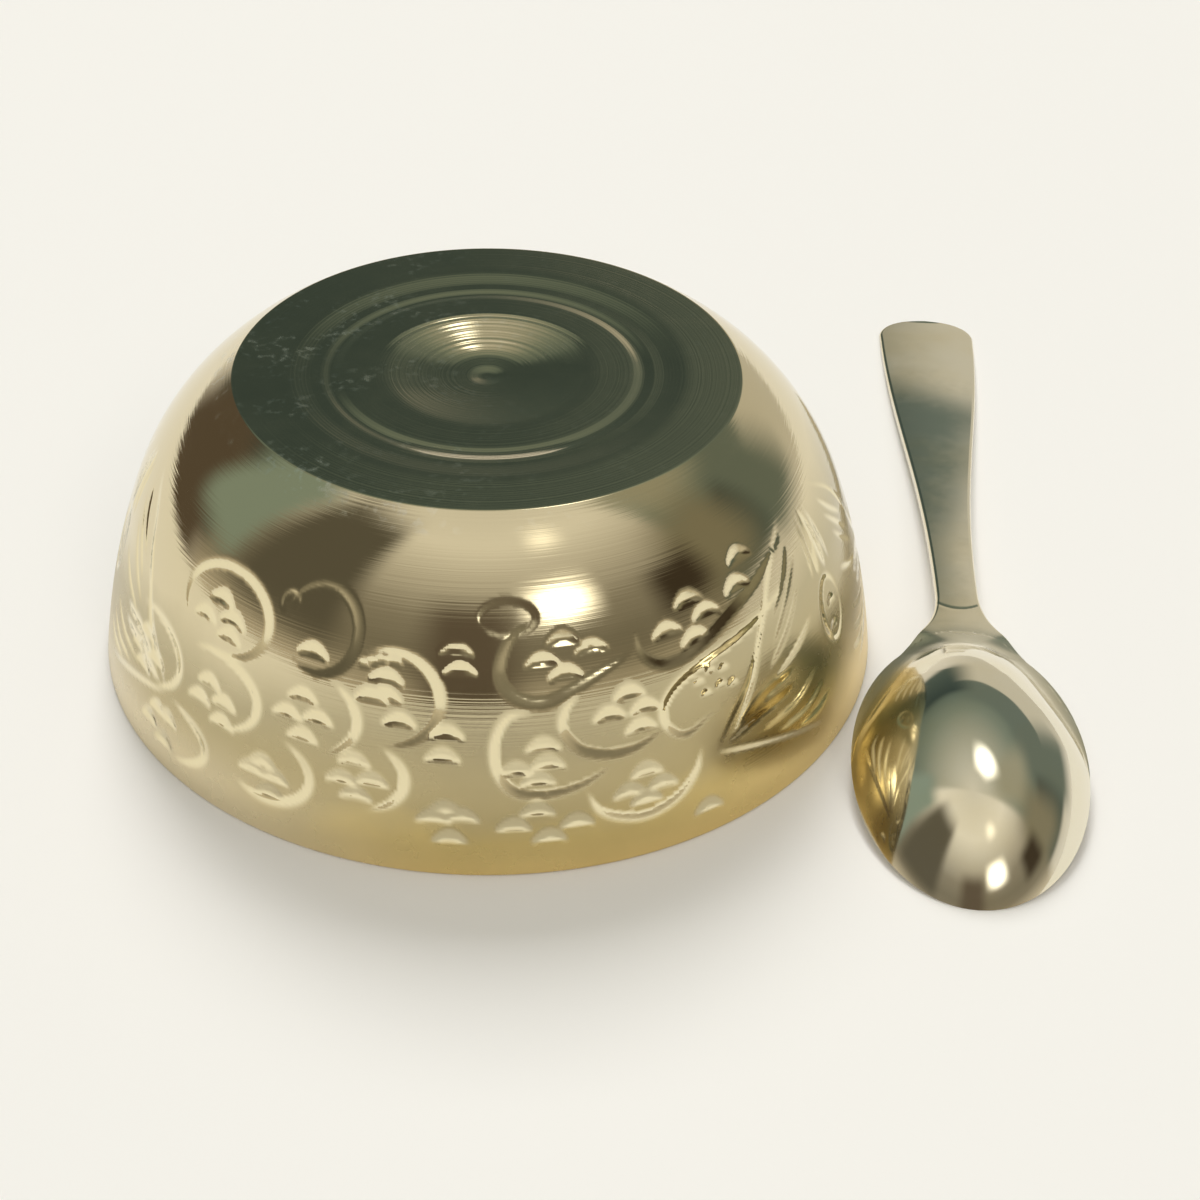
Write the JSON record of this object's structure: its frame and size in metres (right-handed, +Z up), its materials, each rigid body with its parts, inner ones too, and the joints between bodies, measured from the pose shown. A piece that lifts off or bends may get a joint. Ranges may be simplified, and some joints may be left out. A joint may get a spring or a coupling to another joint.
{
  "type": "offering bowl with spoon",
  "caption": "Round polished brass offering bowl with an engraved flaring wall and a turned base, standing mouth down, with a matching brass spoon lying face down beside it.",
  "frame": {"origin": "middle of the bowl's mouth, on the table that the bowl and the spoon stand on", "axes": "+Z up along the bowl's axis, towards its base; the spoon lies on the +X side with its handle towards +Y"},
  "size_m": [0.1201, 0.1275, 0.0365],
  "materials": {
    "bowl_brass": "polished on the lathe, engraved on the wall",
    "spoon_brass": "polished"
  },
  "bodies": {
    "bowl": {"bowl": "bowl_brass"},
    "spoon": {"spoon": "spoon_brass"}
  },
  "joints": [
    {"name": "spoon_lift", "type": "slide", "parent": "bowl", "child": "spoon", "axis": [0, 0, 1], "range_m": [0, 0.08]}
  ]
}
